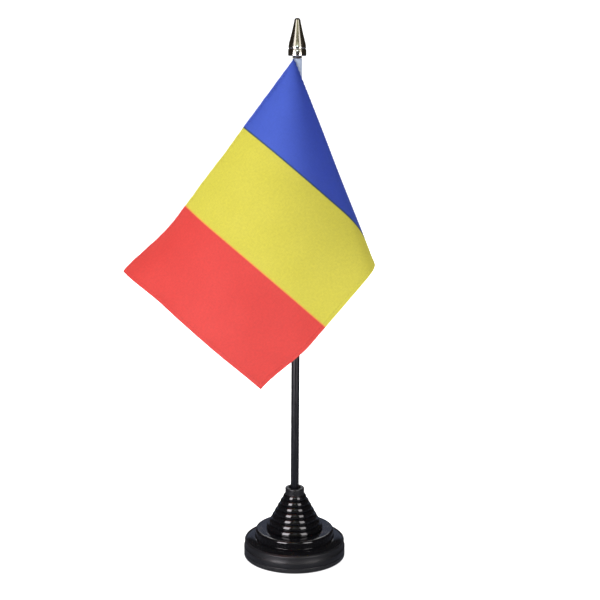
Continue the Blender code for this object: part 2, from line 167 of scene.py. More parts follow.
class Shade:
    """A material under construction: its tree, its shader and short calls for nodes."""

    def __init__(self, name, colour, roughness, metallic=0.0):
        self.material = bpy.data.materials.new(name)
        self.material.use_nodes = True
        self.tree = self.material.node_tree
        self.shader = self.tree.nodes["Principled BSDF"]
        self.shader.inputs["Base Color"].default_value = (*colour, 1.0)
        self.shader.inputs["Roughness"].default_value = roughness
        self.shader.inputs["Metallic"].default_value = metallic
        self.material.diffuse_color = (*colour, 1.0)

    def node(self, kind, settings=None, **inputs):
        made = self.tree.nodes.new(kind)
        for key, value in (settings or {}).items():
            setattr(made, key, value)
        for key, value in inputs.items():
            socket = made.inputs[key.replace("_", " ")]
            if isinstance(value, bpy.types.NodeSocket):
                self.tree.links.new(value, socket)
            else:
                socket.default_value = value
        return made

    def link(self, source, target):
        self.tree.links.new(source, target)

    def math(self, operation, first, second=0.0):
        made = self.tree.nodes.new("ShaderNodeMath")
        made.operation = operation
        for index, value in enumerate((first, second)):
            if isinstance(value, bpy.types.NodeSocket):
                self.tree.links.new(value, made.inputs[index])
            else:
                made.inputs[index].default_value = value
        return made.outputs[0]

    def mix(self, factor, first, second):
        made = self.tree.nodes.new("ShaderNodeMix")
        made.data_type = "RGBA"
        for index, value in ((0, factor), (6, first), (7, second)):
            if isinstance(value, bpy.types.NodeSocket):
                self.tree.links.new(value, made.inputs[index])
            elif index == 0:
                made.inputs[index].default_value = value
            else:
                made.inputs[index].default_value = (*value, 1.0)
        return made.outputs[2]

    def object_place(self):
        return self.node("ShaderNodeTexCoord").outputs["Object"]

    def stretched(self, vector, scale):
        made = self.node("ShaderNodeMapping")
        made.inputs["Scale"].default_value = scale
        self.link(vector, made.inputs["Vector"])
        return made.outputs["Vector"]

    def noise(self, vector, scale, detail=3.0, roughness=0.5):
        made = self.node("ShaderNodeTexNoise", Scale=scale, Detail=detail, Roughness=roughness)
        self.link(vector, made.inputs["Vector"])
        return made.outputs["Fac"]

    def ramp(self, value, low, high, out_low, out_high, smooth=True):
        made = self.node("ShaderNodeMapRange")
        made.interpolation_type = "SMOOTHSTEP" if smooth else "LINEAR"
        made.inputs["From Min"].default_value = low
        made.inputs["From Max"].default_value = high
        made.inputs["To Min"].default_value = out_low
        made.inputs["To Max"].default_value = out_high
        self.link(value, made.inputs["Value"])
        return made.outputs["Result"]

    def bump(self, height, strength, distance, normal=None):
        made = self.node("ShaderNodeBump", Strength=strength, Distance=distance)
        self.link(height, made.inputs["Height"])
        if normal is not None:
            self.link(normal, made.inputs["Normal"])
        return made.outputs["Normal"]


# ------------------------------------------------------------------- materials

def gloss_black():
    """Polished black moulding with faint flow waves, wiping marks and dust; drum and collar duller."""
    made = Shade("gloss_black_plastic", (0.010, 0.010, 0.012), 0.14)
    place = made.object_place()
    split = made.node("ShaderNodeSeparateXYZ")
    made.link(place, split.inputs["Vector"])
    height = split.outputs["Z"]
    waves = made.noise(place, 60.0, 2.0)
    wipes = made.noise(made.stretched(place, (1.0, 1.0, 14.0)), 160.0, 4.0, 0.6)
    grain = made.noise(place, 5200.0, 2.0)
    specks = made.ramp(made.noise(place, 2600.0, 1.0), 0.76, 0.82, 0.0, 1.0)
    on_collar = made.ramp(height, 0.0498, 0.0512, 0.0, 1.0)
    on_drum = made.ramp(height, 0.0136, 0.0150, 1.0, 0.0)
    dull = made.math("ADD", made.math("MULTIPLY", on_collar, 0.22),
                     made.math("MULTIPLY", on_drum, 0.30))
    haze = made.math("ADD", made.ramp(wipes, 0.35, 0.75, 0.07, 0.16), dull)
    dust = made.math("MULTIPLY", specks, 0.2)
    made.link(made.math("ADD", haze, dust), made.shader.inputs["Roughness"])
    body = made.mix(on_drum, (0.0050, 0.0050, 0.0064), (0.0072, 0.0074, 0.0096))
    body = made.mix(on_collar, body, (0.0095, 0.0095, 0.0115))
    made.link(made.mix(dust, body, (0.05, 0.05, 0.055)), made.shader.inputs["Base Color"])
    coarse = made.math("MULTIPLY", grain, made.math("ADD", on_collar, 0.05))
    skin = made.bump(coarse, 0.3, 0.00008)
    fine = made.bump(wipes, 0.04, 0.0003, skin)
    made.link(made.bump(waves, 0.10, 0.0006, fine), made.shader.inputs["Normal"])
    made.shader.inputs["IOR"].default_value = 1.5
    return made.material


def satin_black(name, colour, roughness, grain):
    """Satin black plastic with a fine grain drawn out along Z where grain asks for it."""
    made = Shade(name, colour, roughness)
    place = made.object_place()
    streaks = made.noise(made.stretched(place, (1.0, 1.0, grain)), 1800.0, 3.0, 0.55)
    cloud = made.noise(place, 90.0, 3.0)
    made.link(made.ramp(streaks, 0.3, 0.7, roughness - 0.07, roughness + 0.09),
              made.shader.inputs["Roughness"])
    lighter = tuple(1.5 * channel for channel in colour)
    made.link(made.mix(made.ramp(cloud, 0.35, 0.7, 0.0, 0.8), colour, lighter),
              made.shader.inputs["Base Color"])
    made.link(made.bump(streaks, 0.12, 0.0002), made.shader.inputs["Normal"])
    made.shader.inputs["IOR"].default_value = 1.5
    return made.material


def nickel():
    """Warm bright plating over a moulded core: soft waves, wiping marks, faint spots."""
    made = Shade("nickel_plating", (0.80, 0.77, 0.70), 0.16, 1.0)
    place = made.object_place()
    wipes = made.noise(made.stretched(place, (1.0, 1.0, 0.08)), 900.0, 4.0, 0.6)
    cloud = made.noise(place, 140.0, 3.0)
    spots = made.ramp(made.noise(place, 1700.0, 1.0), 0.72, 0.80, 0.0, 1.0)
    dulled = made.math("MULTIPLY", spots, 0.15)
    made.link(made.math("ADD", made.ramp(wipes, 0.35, 0.75, 0.12, 0.22), dulled),
              made.shader.inputs["Roughness"])
    tint = made.mix(made.ramp(cloud, 0.3, 0.75, 0.0, 1.0), (0.82, 0.79, 0.73), (0.72, 0.68, 0.58))
    made.link(made.mix(made.math("MULTIPLY", spots, 0.4), tint, (0.30, 0.26, 0.20)),
              made.shader.inputs["Base Color"])
    made.link(made.bump(wipes, 0.03, 0.00015), made.shader.inputs["Normal"])
    return made.material


def zinc():
    """Dull zinc-plated steel with spangle and turning marks."""
    made = Shade("zinc_steel", (0.45, 0.45, 0.46), 0.4, 1.0)
    place = made.object_place()
    spangle = made.node("ShaderNodeTexVoronoi", Scale=260.0)
    made.link(place, spangle.inputs["Vector"])
    tone = made.ramp(spangle.outputs["Distance"], 0.0, 0.8, 0.0, 1.0)
    made.link(made.mix(tone, (0.50, 0.51, 0.53), (0.36, 0.37, 0.38)), made.shader.inputs["Base Color"])
    made.link(made.ramp(made.noise(place, 900.0), 0.3, 0.7, 0.3, 0.5), made.shader.inputs["Roughness"])
    made.link(made.bump(made.noise(place, 2400.0), 0.2, 0.0001), made.shader.inputs["Normal"])
    return made.material


def foam():
    """Closed-cell black foam with its cut cells showing."""
    made = Shade("black_foam_rubber", (0.03, 0.03, 0.03), 0.9)
    place = made.object_place()
    cells = made.node("ShaderNodeTexVoronoi", Scale=1500.0)
    made.link(place, cells.inputs["Vector"])
    depth = cells.outputs["Distance"]
    made.link(made.mix(made.ramp(depth, 0.0, 0.6, 0.0, 1.0), (0.012, 0.012, 0.012), (0.05, 0.05, 0.052)),
              made.shader.inputs["Base Color"])
    made.link(made.ramp(made.noise(place, 300.0), 0.3, 0.7, 0.82, 0.96), made.shader.inputs["Roughness"])
    made.link(made.bump(depth, 0.5, 0.0003), made.shader.inputs["Normal"])
    return made.material


def paint(node_name, material):
    node = NODES[node_name]
    node.data.materials.clear()
    node.data.materials.append(material)


# ------------------------------------------------------------- turned pieces

def arc(centre, radius, start, end, steps):
    """Points of an arc in (radius, height), angles in degrees from the outward direction."""
    points = []
    for step in range(steps + 1):
        angle = math.radians(start + (end - start) * step / steps)
        points.append((centre[0] + radius * math.cos(angle), centre[1] + radius * math.sin(angle)))
    return points


def turned(name, profile, steps, material, body, replaced):
    """Solid of revolution from a closed (radius, height) outline, riding on a body."""
    mesh = bpy.data.meshes.new(name)
    work = bmesh.new()
    rings = []
    for radius, height in profile:
        if radius < 1e-9:
            rings.append([work.verts.new((0.0, 0.0, height))])
            continue
        ring = []
        for step in range(steps):
            angle = 2.0 * math.pi * step / steps
            ring.append(work.verts.new((radius * math.cos(angle), radius * math.sin(angle), height)))
        rings.append(ring)
    for index, lower in enumerate(rings):
        upper = rings[(index + 1) % len(rings)]
        if len(lower) == 1 and len(upper) == 1:
            continue
        for step in range(steps):
            after = (step + 1) % steps
            if len(lower) == 1:
                work.faces.new((lower[0], upper[after], upper[step]))
            elif len(upper) == 1:
                work.faces.new((lower[step], lower[after], upper[0]))
            else:
                work.faces.new((lower[step], lower[after], upper[after], upper[step]))
    finish_mesh(work, mesh)
    place_piece(name, mesh, material, body, replaced, TURNED_SHARP)


def finish_mesh(work, mesh):
    bmesh.ops.recalc_face_normals(work, faces=work.faces)
    if work.calc_volume(signed=True) < 0.0:
        bmesh.ops.reverse_faces(work, faces=work.faces)
    work.to_mesh(mesh)
    work.free()


def place_piece(name, mesh, material, body, replaced=(), sharp_angle=None):
    mesh.materials.append(material)
    for polygon in mesh.polygons:
        polygon.use_smooth = True
    if sharp_angle is not None:
        mesh.set_sharp_from_angle(angle=math.radians(sharp_angle))
    piece = bpy.data.objects.new(name, mesh)
    bpy.context.scene.collection.objects.link(piece)
    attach(piece, body)
    if replaced:
        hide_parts(*replaced)
    return piece


def scaled(points):
    return [(radius * MM, height * MM) for radius, height in points]


RIB_COUNT = 7
RIB_BOTTOM = (21.7, 24.4)
RIB_TOP = (8.6, 48.9)
RIB_BULGE = 1.0
RIB_POINTS = 13


def rib_points():
    """Seven rounded rings up the cone, each a smooth bulge with a fine crease below it."""
    points = []
    pitch = (RIB_TOP[1] - RIB_BOTTOM[1]) / (RIB_COUNT - 1)
    step_in = (RIB_BOTTOM[0] - RIB_TOP[0]) / (RIB_COUNT - 1)
    for rib in range(RIB_COUNT):
        radius = RIB_BOTTOM[0] - step_in * rib
        height = RIB_BOTTOM[1] + pitch * rib
        for step in range(RIB_POINTS):
            across = step / (RIB_POINTS - 1)
            lift = height + (across - 0.5) * 0.96 * pitch
            lean = 0.24 * step_in * (1.0 - 2.0 * across)
            bulge = RIB_BULGE * (math.sin(math.pi * across) ** 0.4 - 0.58)
            points.append((radius + lean + bulge, lift))
    return points


def base_points():
    """Outline of the moulded shell, outside from the seam up, then the socket and the hollow."""
    outside = [(37.2, 4.4), (39.7, 4.4)]
    outside += arc((39.7, 4.7), 0.3, -80.0, 0.0, 4)
    outside += arc((39.65, 8.25), 0.35, 0.0, 80.0, 5)
    outside += [(39.48, 8.66), (39.4, 8.8)]
    outside += arc((38.6, 12.9), 0.8, 0.0, 58.0, 6)
    outside += [(36.6, 15.12), (34.0, 15.95), (31.6, 16.35)]
    outside += arc((31.55, 16.6), 0.25, -90.0, -176.0, 5)
    outside += arc((29.1, 20.55), 1.75, 4.0, 88.0, 9)
    outside += [(27.5, 22.3), (23.4, 22.3), (22.7, 22.36)]
    collar = [(7.75, 50.75), (7.47, 51.1)]
    collar += arc((6.65, 55.2), 0.8, 0.0, 90.0, 8)
    collar += [(5.2, 56.0), (5.0, 55.93), (4.85, 55.8), (4.6, 55.3), (3.5, 54.2)]
    collar += [(SOCKET_R / MM, 53.9)]
    inside = [
        (SOCKET_R / MM, 12.0), (0.0, 12.0), (0.0, 10.0), (5.35, 10.0), (5.35, 40.0), (6.95, 40.0),
        (19.9, 20.0), (29.1, 20.0), (29.1, 14.5), (35.9, 13.1), (37.2, 10.8),
    ]
    return scaled(outside + rib_points() + collar + inside)


def finial_points():
    """Plated spear point: rounded band at its foot, a groove, and a slim cone to a round nose."""
    foot = 389.8
    outline = [(3.2, foot), (5.9, foot)]
    outline += arc((5.95, foot + 0.75), 0.75, -90.0, -6.0, 7)
    outline += [(6.70, foot + 1.4), (6.71, foot + 2.6), (6.69, foot + 3.6)]
    outline += arc((5.95, foot + 4.5), 0.68, 12.0, 62.0, 6)
    outline += [(6.17, foot + 5.25), (6.14, foot + 5.45), (6.2, foot + 5.6), (6.32, foot + 5.8)]
    outline += [(6.42, foot + 6.1), (6.45, foot + 6.5), (6.40, foot + 7.1), (6.22, foot + 8.4)]
    outline += [(5.97, foot + 9.8), (5.54, foot + 11.3), (5.16, foot + 12.8), (4.71, foot + 14.5)]
    outline += [(4.27, foot + 16.2), (3.86, foot + 18.0), (3.46, foot + 19.8), (3.06, foot + 21.6)]
    outline += [(2.67, foot + 23.4), (2.39, foot + 24.8)]
    outline += arc((0.0, foot + 25.17), 2.33, 2.0, 78.0, 9)
    outline += [(0.0, foot + 27.5), (0.0, foot + 6.6), (3.2, foot + 6.6)]
    return scaled(outline)


def pole_points():
    foot, top = POLE_FOOT_Z / MM, POLE_TOP_Z / MM
    outer, bore = POLE_R / MM, POLE_BORE_R / MM
    return scaled(
        [(bore, foot), (outer - 0.3, foot), (outer - 0.08, foot + 0.1), (outer, foot + 0.3), (outer, 120.0)]
        + [(outer, 240.0), (outer, top - 0.3), (outer - 0.08, top - 0.1), (outer - 0.3, top), (bore, top)]
    )


def cover_points():
    """Bottom cover: rim with a soft edge, recess for the pad, locating and prop rings inside."""
    outline = [(0.0, 1.3), (36.3, 1.3), (36.5, 1.1), (36.5, 0.4), (39.35, 0.4)]
    outline += arc((39.4, 1.0), 0.6, -78.0, 0.0, 6)
    outline += arc((39.7, 3.8), 0.3, 0.0, 90.0, 5)
    outline += [(36.8, 4.1), (36.8, 8.0), (36.3, 8.5), (35.2, 8.5), (35.2, 3.2), (35.0, 3.0), (24.0, 3.0)]
    outline += [(24.0, 12.5), (23.8, 12.7), (22.4, 12.7), (22.2, 12.5), (22.2, 3.0), (0.0, 3.0)]
    return scaled(outline)


def plug_points():
    """Plug: spigot down into the tube, flange over the sleeve, neck up into the finial."""
    outline = [(0.0, 374.3), (1.65, 374.3), (2.05, 374.7), (2.15, 375.1), (2.15, 388.3), (3.35, 388.3)]
    outline += [(3.46, 388.36), (3.5, 388.5), (3.5, 389.3), (3.46, 389.44), (3.35, 389.5), (2.9, 389.5)]
    outline += [(2.9, 395.0), (2.75, 395.35), (2.4, 395.5), (0.0, 395.5)]
    return scaled(outline)


# --------------------------------------------------------------------- cloth

def smooth_share(value, start, end):
    share = min(1.0, max(0.0, (value - start) / (end - start)))
    return share * share * (3.0 - 2.0 * share)


def cloth_heading(flat_angle):
    """Which way the directions move: 0 is to the right, 90 forward, 180 to the left."""
    fold_start = FOLD_MIDDLE - FOLD_HALF_WIDTH
    fold_end = FOLD_MIDDLE + FOLD_HALF_WIDTH
    turned_by = (HEADING_PAST_FOLD - HEADING_AT_POLE) * smooth_share(flat_angle, fold_start, fold_end)
    past = max(0.0, (flat_angle - fold_end) / (0.5 * math.pi - fold_end))
    return HEADING_AT_POLE + turned_by + (HEADING_AT_TOP - HEADING_PAST_FOLD) * past * past


def walk_directions():
    """Directions from the top hoist corner at equal flat angles from 0 to 90 degrees."""
    swing = 0.0
    forward = 0.0
    turn = 0.5 * math.pi / WALK_STEPS
    directions = []
    for step in range(WALK_STEPS + 1):
        across = math.cos(forward)
        directions.append(Vector((across * math.sin(swing), -math.sin(forward), -across * math.cos(swing))))
        heading = cloth_heading((step + 0.5) * turn)
        swing += turn * math.cos(heading) / across
        forward += turn * math.sin(heading)
    return directions


DIRECTIONS = walk_directions()


def corner_pull(across, down):
    """How far the two free corners stray from the cone."""
    near_top = smooth_share(across, 0.74 * FLY, FLY) * (1.0 - smooth_share(down, 0.0, 0.30 * DROP))
    near_low = smooth_share(across, 0.75 * FLY, FLY) * smooth_share(down, 0.61 * DROP, DROP)
    return TOP_CORNER_PULL * near_top + LOW_CORNER_PULL * near_low


def cloth_place(across, down):
    """Where the point of the flat cloth at that fly distance and drop hangs."""
    run = math.hypot(across, down)
    if run < 1e-9:
        return CORNER.copy()
    flat_angle = min(0.5 * math.pi, max(0.0, math.atan2(across, down)))
    at = flat_angle / (0.5 * math.pi) * WALK_STEPS
    low = min(WALK_STEPS - 1, int(at))
    direction = DIRECTIONS[low].lerp(DIRECTIONS[low + 1], at - low).normalized()
    return CORNER + direction * run + corner_pull(across, down)


def cloth_normal(across, down):
    """Unit normal on the printed face, which shows in front past the fold."""
    reach = 0.5 * MM
    across = max(across, 0.0)
    down = max(down, 0.0)
    if math.hypot(across, down) < 2.0 * MM:
        down += 2.0 * MM
    left = max(0.0, across - reach)
    above = max(0.0, down - reach)
    along = cloth_place(across + reach, down) - cloth_place(left, down)
    drop = cloth_place(across, down + reach) - cloth_place(across, above)
    return along.cross(drop).normalized()


def nearest_edge(across, down):
    """Distance to the nearest of the top, fly and bottom edges."""
    return min(down, DROP - down, FLY - across)


def ripple(across, down):
    """Small waves of a hand-hung cloth, and puckers where the hem is sewn."""
    u, v = across / MM, down / MM
    free = smooth_share(math.hypot(across, down), 40.0 * MM, 100.0 * MM)
    broad = 0.34 * math.sin(u / 17.0 + 0.6 * math.sin(v / 29.0)) * math.sin(v / 23.0 + 1.1)
    broad += 0.16 * math.sin(u / 7.9 - v / 11.3 + 0.7)
    edge = nearest_edge(across, down) / MM
    near = math.exp(-max(0.0, edge) / 5.0)
    run = v if (FLY - across) / MM <= edge + 0.01 else u
    pucker = 0.10 * math.sin(run / 1.55) * math.sin(run / 9.7 + 0.4) + 0.07 * math.sin(run / 3.1 + 1.9)
    return (free * broad + near * pucker * smooth_share(across, 3.0 * MM, 12.0 * MM)) * MM


def hem_share(across, down):
    """1 on the turned hem along the top, fly and bottom edges, 0 on the single cloth."""
    nearest = nearest_edge(across, down)
    return 1.0 - smooth_share(nearest, HEM_WIDTH - 0.12 * MM, HEM_WIDTH + 0.22 * MM)


def face_offset(across, down, side):
    """Distance of a face from the middle of the cloth, hem, rounded edge and stitch groove included."""
    nearest = nearest_edge(across, down)
    lift = HEM_FRONT_LIFT if side > 0 else HEM_BACK_LIFT
    offset = 0.5 * CLOTH_THICK + lift * hem_share(across, down)
    offset *= 0.35 + 0.65 * smooth_share(nearest, -0.02 * MM, 0.3 * MM)
    groove = math.exp(-((nearest - HEM_STITCH_AT) / (0.22 * MM)) ** 2)
    return offset - 0.05 * MM * groove


def cloth_face(across, down, side, extra=0.0):
    """A point on one face of the finished cloth; side is 1 for the printed face, -1 for the back."""
    normal = cloth_normal(across, down)
    return cloth_place(across, down) + normal * (
        ripple(across, down) + side * (face_offset(across, down, side) + extra)
    )


def grid_lines(length, hem_at_start):
    """Positions across the cloth, close together on the hem and about 1.6 mm apart between."""
    high = [length - line * MM for line in reversed(HEM_LINES)]
    low = [line * MM for line in HEM_LINES] if hem_at_start else [0.0]
    steps = round((high[0] - low[-1]) / GRID_STEP)
    middle = [low[-1] + (high[0] - low[-1]) * step / steps for step in range(1, steps)]
    return low + middle + high


def uv_face(work, layer, corners):
    """Add a face from (vertex, flat u, flat v) corners."""
    face = work.faces.new([corner[0] for corner in corners])
    for loop, corner in zip(face.loops, corners):
        loop[layer].uv = (corner[1] / FLAT_UNIT, corner[2] / FLAT_UNIT)


def close_sheet(work, layer, faces, upright_side):
    """Faces of a closed thin sheet from its two grids of (vertex, flat u, flat v), then its rim."""
    last_row, last_column = len(faces[1]) - 1, len(faces[1][0]) - 1
    for side in (1, -1):
        grid = faces[side]
        for row in range(last_row):
            for column in range(last_column):
                corners = [grid[row][column], grid[row + 1][column],
                           grid[row + 1][column + 1], grid[row][column + 1]]
                uv_face(work, layer, corners if side == upright_side else corners[::-1])
    rim = [(0, column) for column in range(last_column)]
    rim += [(row, last_column) for row in range(last_row)]
    rim += [(last_row, column) for column in range(last_column, 0, -1)]
    rim += [(row, 0) for row in range(last_row, 0, -1)]
    for index, (row, column) in enumerate(rim):
        next_row, next_column = rim[(index + 1) % len(rim)]
        uv_face(work, layer, [faces[1][row][column], faces[1][next_row][next_column],
                              faces[-1][next_row][next_column], faces[-1][row][column]])


def build_cloth(material):
    """The cloth as a closed thin sheet with its hem turned to the back on three edges."""
    lines_across = grid_lines(FLY, False)
    lines_down = grid_lines(DROP, True)
    work = bmesh.new()
    layer = work.loops.layers.uv.new("flat_mm")
    faces = {}
    for side in (1, -1):
        faces[side] = [
            [(work.verts.new(cloth_face(u, v, side)), u, v) for u in lines_across] for v in lines_down
        ]
    close_sheet(work, layer, faces, -1)
    mesh = bpy.data.meshes.new("cloth")
    finish_mesh(work, mesh)
    return place_piece("flag", mesh, material, "flag", ("flag_cloth",),
                       SHEET_SHARP)


def add_thread(work, layer, points, flat, radius):
    """A closed thread along the points, thinner at both ends; flat gives its place on the cloth."""
    rings = []
    last = len(points) - 1
    for index, point in enumerate(points):
        ahead = points[min(last, index + 1)] - points[max(0, index - 1)]
        turn = ahead.normalized().to_track_quat("Z", "Y")
        size = radius * (0.45 if index in (0, last) else 1.0)
        ring = []
        for step in range(THREAD_SIDES):
            angle = 2.0 * math.pi * step / THREAD_SIDES
            offset = Vector((size * math.cos(angle), size * math.sin(angle), 0.0))
            ring.append(work.verts.new(point + turn @ offset))
        rings.append(ring)
    for index in range(last):
        for step in range(THREAD_SIDES):
            after = (step + 1) % THREAD_SIDES
            quad = (rings[index][step], rings[index][after],
                    rings[index + 1][after], rings[index + 1][step])
            uv_face(work, layer, [(vertex, *flat[index]) for vertex in quad])
    uv_face(work, layer, [(vertex, *flat[0]) for vertex in reversed(rings[0])])
    uv_face(work, layer, [(vertex, *flat[last]) for vertex in rings[last]])


def stitch_row(work, layer, start, end, side, extra):
    """Lock stitches along a straight line of the flat cloth, on one of its faces."""
    start, end = Vector(start), Vector(end)
    length = (end - start).length
    along = (end - start).normalized()
    count = int(length / STITCH_PITCH)
    for index in range(count):
        middle = (index + 0.5) * length / count
        points, flat = [], []
        for share, lift in STITCH_SHAPE:
            spot = start + along * (middle + share * STITCH_LENGTH)
            points.append(cloth_face(spot.x, spot.y, side, extra + lift * MM))
            flat.append((spot.x, spot.y))
        add_thread(work, layer, points, flat, THREAD_R)


def build_stitches(material):
    """Hem stitching on both faces, and the bar of thread that gathers the top corner."""
    work = bmesh.new()
    layer = work.loops.layers.uv.new("flat_mm")
    at = HEM_STITCH_AT
    for side in (1, -1):
        stitch_row(work, layer, (TOP_HEM_START, at), (FLY - at, at), side, 0.0)
        stitch_row(work, layer, (FLY - at, at), (FLY - at, DROP - at), side, 0.0)
        stitch_row(work, layer, (FLY - at, DROP - at), (LOW_HEM_END, DROP - at), side, 0.0)
    steps = 9
    points, flat = [], []
    for step in range(BAR_TURNS * steps + 1):
        angle = 2.0 * math.pi * step / steps
        down = (1.0 + 0.62 * step / steps) * MM
        radius = (0.42 + 0.10 * step / steps) * MM
        points.append(CORNER + Vector((radius * math.cos(angle), 0.8 * radius * math.sin(angle), -down)))
        flat.append((0.5 * MM, down))
    add_thread(work, layer, points, flat, BAR_THREAD_R)
    mesh = bpy.data.meshes.new("hem_stitches")
    finish_mesh(work, mesh)
    return place_piece("hem_stitches", mesh, material, "flag")


def tape_leg(reach, down, shares, offset):
    """Points of one leg of the tape, which lies along the cloth at that offset from its middle."""
    return [
        cloth_place(reach * share, down) + cloth_normal(reach * share, down) * offset
        for share in shares
    ]


def tape_section(down):
    """Centre line of the tape at a drop: over the cloth, round the pole and back along the cloth."""
    seam = math.atan2(CORNER.y, CORNER.x)
    leg = max(0.15 * MM, min(TAPE_LEG, 0.26 * down))
    gap = 0.5 * CLOTH_THICK + TAPE_HALF_THICK + 0.04 * MM
    outer = tape_leg(leg, down, TAPE_LEG_SHARES, -gap)
    inner = tape_leg(leg, down, TAPE_LEG_SHARES[::-1], gap)
    if outer[0].y > inner[-1].y:
        outer, inner = inner[::-1], outer[::-1]
    height = CORNER.z - down
    ring = []
    for step in range(TAPE_ROUND_STEPS + 1):
        share = step / TAPE_ROUND_STEPS
        angle = seam - TAPE_OPENING - (2.0 * math.pi - 2.0 * TAPE_OPENING) * share
        crease = 0.05 * math.sin(3.0 * angle + down / (6.0 * MM))
        crease += 0.035 * math.sin(5.0 * angle - down / (3.7 * MM))
        radius = TAPE_R + (crease + 0.02) * MM
        ring.append(Vector((radius * math.cos(angle), radius * math.sin(angle), height)))
    return [Vector((point.x, point.y, height)) for point in outer] + ring + [
        Vector((point.x, point.y, height)) for point in inner
    ]


def build_sleeve(material):
    """Heading tape sewn into a tube round the pole; its closed top hangs on the end of the pole."""
    work = bmesh.new()
    layer = work.loops.layers.uv.new("tape_mm")
    drops = [TAPE_TOP, TAPE_TOP + 0.12 * MM, TAPE_TOP + 0.4 * MM, TAPE_TOP + 1.0 * MM]
    for step in range(TAPE_DOWN_STEPS + 1):
        drops.append(2.0 * MM + (DROP - 2.4 * MM) * step / TAPE_DOWN_STEPS)
    drops += [DROP - 0.1 * MM]
    rows = []
    for index, down in enumerate(drops):
        line = tape_section(down)
        squeeze = TAPE_TOP_SQUEEZE[index] if index < len(TAPE_TOP_SQUEEZE) else 1.0
        hem = TAPE_HEM_LIFT if down > DROP - TAPE_HEM_WIDTH else 0.0
        travelled = 0.0
        row = []
        for spot, point in enumerate(line):
            before, after = line[max(0, spot - 1)], line[min(len(line) - 1, spot + 1)]
            travelled += (point - before).length
            along = (after - before).normalized()
            out = Vector((-along.y, along.x, 0.0))
            if out.dot(Vector((point.x, point.y, 0.0))) < 0.0 and 4 <= spot < len(line) - 4:
                out = -out
            centre = Vector((point.x * squeeze, point.y * squeeze, point.z))
            row.append((centre, out, travelled, down, hem))
        rows.append(row)
    sides = {1: [], -1: []}
    for side in (1, -1):
        for row in rows:
            line = []
            for centre, out, along, down, hem in row:
                reach = TAPE_HALF_THICK + (hem if side > 0 else 0.0)
                line.append((work.verts.new(centre + out * side * reach), along, down))
            sides[side].append(line)
    close_sheet(work, layer, sides, 1)
    mesh = bpy.data.meshes.new("sleeve_tape")
    finish_mesh(work, mesh)
    place_piece("sleeve_tape", mesh, material, "flag", ("flag_sleeve",), SHEET_SHARP)


def build_seam(material):
    """Two rows of stitches through the tape's legs and the hoist edge of the cloth."""
    work = bmesh.new()
    layer = work.loops.layers.uv.new("flat_mm")
    over_tape = 2.0 * TAPE_HALF_THICK + 0.06 * MM
    for side in (1, -1):
        for across in SEAM_ROWS:
            end = (across, DROP - SEAM_STOP_SHORT)
            stitch_row(work, layer, (across, SEAM_START), end, side, over_tape)
    mesh = bpy.data.meshes.new("seam_stitches")
    finish_mesh(work, mesh)
    place_piece("seam_stitches", mesh, material, "flag")


def flat_parts(made, layer):
    """The flat coordinates of the cloth: their vector, and both in millimetres."""
    flat = made.node("ShaderNodeUVMap", {"uv_map": layer}).outputs["UV"]
    split = made.node("ShaderNodeSeparateXYZ")
    made.link(flat, split.inputs["Vector"])
    unit = FLAT_UNIT / MM
    across = made.math("MULTIPLY", split.outputs["X"], unit)
    down = made.math("MULTIPLY", split.outputs["Y"], unit)
    return flat, across, down


def dyed_stripes(made, flat, across):
    """Blue, yellow and red dye, a thin dark line at their first border and an orange one at the second."""
    bleed = made.math("MULTIPLY", made.math("SUBTRACT", made.noise(flat, 90.0, 3.0), 0.5), 0.35)
    edge = made.math("ADD", across, bleed)
    first = STRIPE_WIDTHS[0] / MM
    second = first + STRIPE_WIDTHS[1] / MM
    cloud = made.noise(flat, 3.5, 4.0, 0.6)
    blue = made.mix(cloud, *BLUE_DYES)
    yellow = made.mix(cloud, *YELLOW_DYES)
    red = made.mix(cloud, *RED_DYES)
    to_yellow = made.ramp(edge, first - 0.25, first + 0.25, 0.0, 1.0)
    to_red = made.ramp(edge, second - 0.25, second + 0.25, 0.0, 1.0)
    dyed = made.mix(to_red, made.mix(to_yellow, blue, yellow), red)
    from_first = made.math("ABSOLUTE", made.math("SUBTRACT", edge, first - 0.2))
    from_second = made.math("ABSOLUTE", made.math("SUBTRACT", edge, second))
    dyed = made.mix(made.ramp(from_first, 0.0, 0.9, 0.95, 0.0), dyed, FIRST_BORDER_DYE)
    return made.mix(made.ramp(from_second, 0.0, 0.9, 0.8, 0.0), dyed, SECOND_BORDER_DYE)


